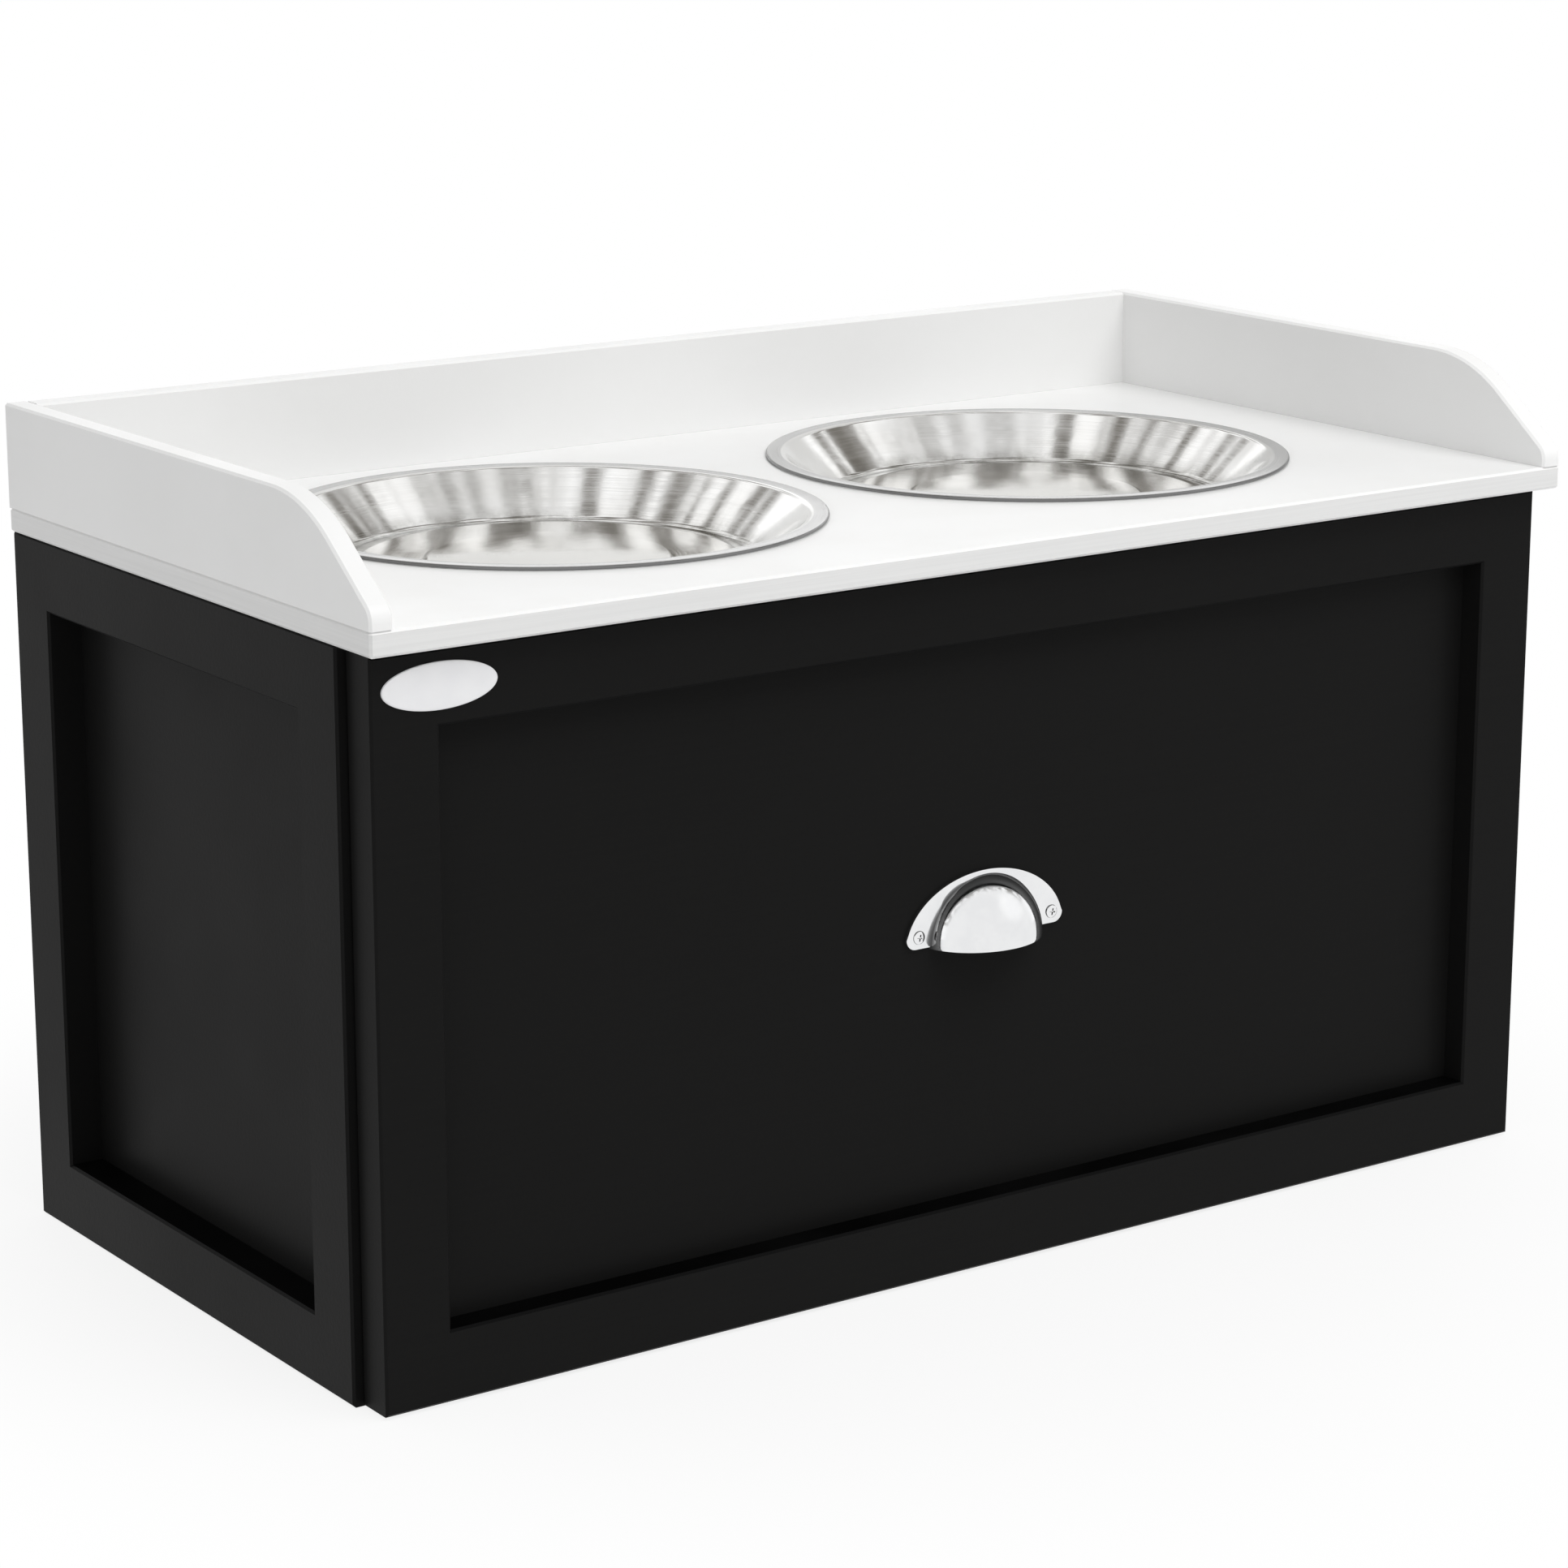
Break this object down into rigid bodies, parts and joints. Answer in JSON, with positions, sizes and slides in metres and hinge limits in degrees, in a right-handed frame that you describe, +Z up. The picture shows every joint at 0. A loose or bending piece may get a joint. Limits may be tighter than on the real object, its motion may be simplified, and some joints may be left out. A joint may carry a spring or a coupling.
{
  "type": "elevated dog feeder with storage",
  "caption": "Raised pet feeding station: steel bowls hang in a guarded white top above a framed black cabinet with one deep pull-out drawer on roller slides and a chrome cup pull.",
  "frame": {"origin": "on the floor under the middle of the overall box", "axes": "+Z up; +X towards the right end as seen by someone at the drawer; +Y from the drawer front towards the back, so the drawer pulls out along -Y"},
  "size_m": [0.6, 0.3, 0.355],
  "materials": {
    "white_board": "satin white lacquer on fibreboard",
    "black_board": "satin black lacquer on fibreboard",
    "inner_board": "matt black melamine on fibreboard",
    "drawer_board": "matt black melamine on fibreboard",
    "dowel_wood": "bare fluted beech",
    "bowl_steel": "polished stainless, satin inside",
    "chrome": "mirror chrome plating",
    "slide_steel": "epoxy-coated steel",
    "nylon": "moulded nylon",
    "zinc": "zinc plated"
  },
  "bodies": {
    "cabinet": {"back_guard": "white_board", "back_panel": "inner_board", "bottom_board": "inner_board", "cabinet_dowels": "dowel_wood", "front_roller_pins": "zinc", "front_stretcher": "inner_board", "left_cabinet_slide": "slide_steel", "left_guard": "white_board", "left_side_bottom_rail": "black_board", "left_side_front_stile": "black_board", "left_side_panel": "black_board", "left_side_rear_stile": "black_board", "left_side_top_rail": "black_board", "right_cabinet_slide": "slide_steel", "right_guard": "white_board", "right_side_bottom_rail": "black_board", "right_side_front_stile": "black_board", "right_side_panel": "black_board", "right_side_rear_stile": "black_board", "right_side_top_rail": "black_board", "top_board": "white_board", "top_dowels": "dowel_wood"},
    "drawer": {"drawer_panel": "black_board", "drawer_bottom_rail": "black_board", "drawer_right_stile": "black_board", "drawer_top_rail": "black_board", "drawer_left_stile": "black_board", "box_front": "drawer_board", "box_back": "drawer_board", "box_left": "drawer_board", "box_right": "drawer_board", "box_floor": "drawer_board", "left_drawer_slide": "slide_steel", "right_drawer_slide": "slide_steel", "rear_roller_pins": "zinc", "drawer_dowels": "dowel_wood", "cup_pull": "chrome", "pull_screws": "chrome"},
    "left_bowl": {"left_bowl": "bowl_steel"},
    "right_bowl": {"right_bowl": "bowl_steel"},
    "left_front_roller": {"left_front_roller": "nylon"},
    "right_front_roller": {"right_front_roller": "nylon"},
    "left_rear_roller": {"left_rear_roller": "nylon"},
    "right_rear_roller": {"right_rear_roller": "nylon"}
  },
  "joints": [
    {"name": "drawer_slide", "type": "slide", "parent": "cabinet", "child": "drawer", "axis": [0, -1, 0], "range_m": [0, 0.19]},
    {"name": "left_bowl_lift", "type": "slide", "parent": "cabinet", "child": "left_bowl", "axis": [0, 0, 1], "range_m": [0, 0.12]},
    {"name": "right_bowl_lift", "type": "slide", "parent": "cabinet", "child": "right_bowl", "axis": [0, 0, 1], "range_m": [0, 0.12]},
    {"name": "left_front_roller_turn", "type": "hinge", "parent": "cabinet", "child": "left_front_roller", "pos_m": [-0.2739, -0.1075, 0.0265], "axis": [1, 0, 0], "continuous": true},
    {"name": "left_rear_roller_turn", "type": "hinge", "parent": "drawer", "child": "left_rear_roller", "pos_m": [-0.2739, 0.115, 0.026], "axis": [1, 0, 0], "continuous": true},
    {"name": "right_front_roller_turn", "type": "hinge", "parent": "cabinet", "child": "right_front_roller", "pos_m": [0.2739, -0.1075, 0.0265], "axis": [1, 0, 0], "continuous": true},
    {"name": "right_rear_roller_turn", "type": "hinge", "parent": "drawer", "child": "right_rear_roller", "pos_m": [0.2739, 0.115, 0.026], "axis": [1, 0, 0], "continuous": true}
  ],
  "couplings": [
    {"joint": "left_front_roller_turn", "follows": "drawer_slide", "rad_per_m": 133.33},
    {"joint": "left_rear_roller_turn", "follows": "drawer_slide", "rad_per_m": 133.33},
    {"joint": "right_front_roller_turn", "follows": "drawer_slide", "rad_per_m": 133.33},
    {"joint": "right_rear_roller_turn", "follows": "drawer_slide", "rad_per_m": 133.33}
  ]
}
